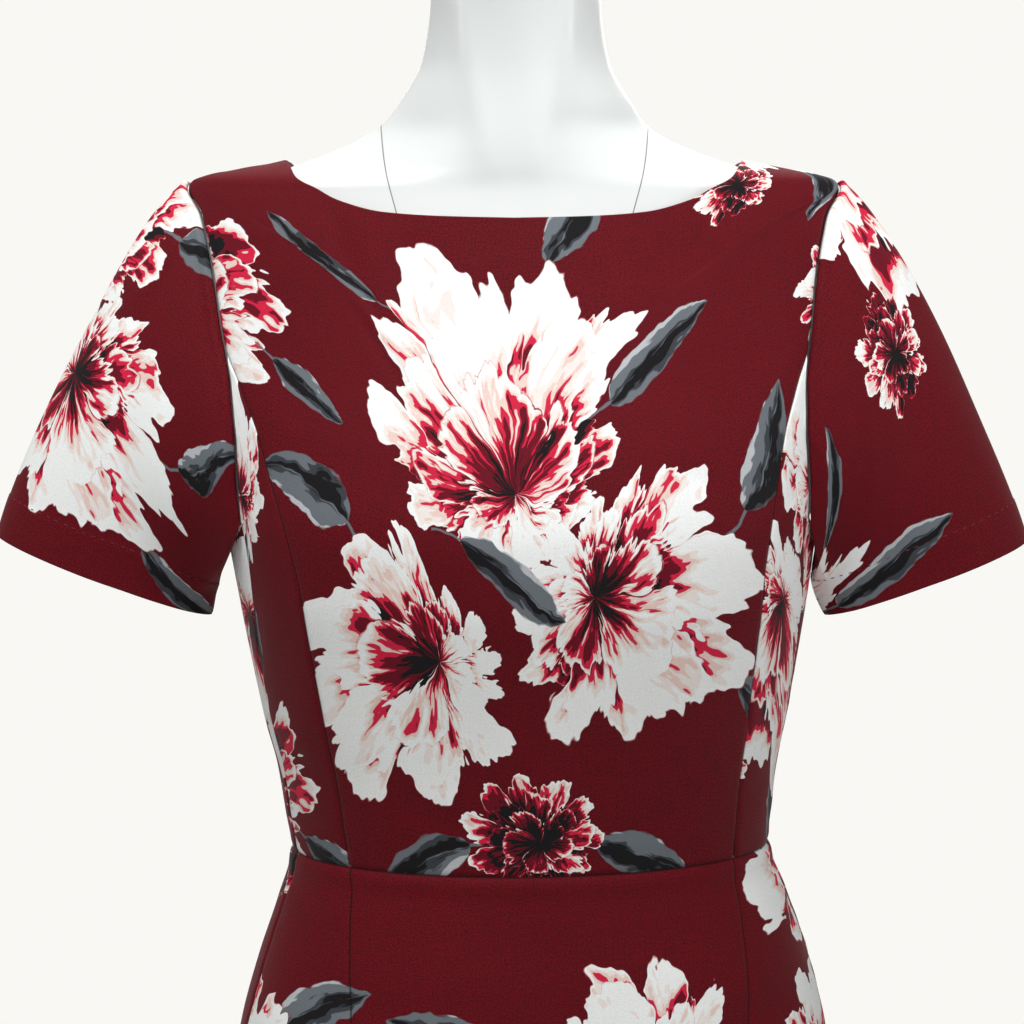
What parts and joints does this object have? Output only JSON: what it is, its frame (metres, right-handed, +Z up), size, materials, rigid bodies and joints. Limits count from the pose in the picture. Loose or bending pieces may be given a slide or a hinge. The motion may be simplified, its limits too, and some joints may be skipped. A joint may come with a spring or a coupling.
{
  "type": "sheath dress on a dress form",
  "caption": "Short-sleeved, knee-length sheath dress with princess seams, a round neck and a concealed back zip, on a limbless dress form with a pole and round base.",
  "frame": {"origin": "on the floor, under the middle of the whole part's bounding box", "axes": "+Z up; the garment's front faces -Y; +X is the wearer's left"},
  "size_m": [0.5858, 0.34, 1.6058],
  "materials": {
    "cloth": "wine-red crepe with a printed flower pattern, matte",
    "zip_tape": "woven tape dyed to the cloth",
    "form": "white gloss lacquer",
    "steel": "satin",
    "zip_metal": "enamel dyed to the cloth"
  },
  "bodies": {
    "dress_on_form": {"bodice_front": "cloth", "bodice_side_front_left": "cloth", "bodice_side_front_right": "cloth", "bodice_back_left": "cloth", "bodice_back_right": "cloth", "sleeve_left": "cloth", "sleeve_right": "cloth", "skirt_front": "cloth", "skirt_back_left": "cloth", "skirt_back_right": "cloth", "zip_tape": "zip_tape", "form_torso": "form", "neck_cap": "steel", "pole_flange": "steel", "pole": "steel", "base_plate": "steel", "zip_slider": "zip_metal"},
    "pull_tab": {"zip_tab": "zip_metal"}
  },
  "joints": [
    {"name": "pull_tab_hinge", "type": "hinge", "parent": "dress_on_form", "child": "pull_tab", "pos_m": [0.00132, 0.10008, 1.39247], "axis": [1, 0, 0], "range_deg": [0, 150]}
  ]
}
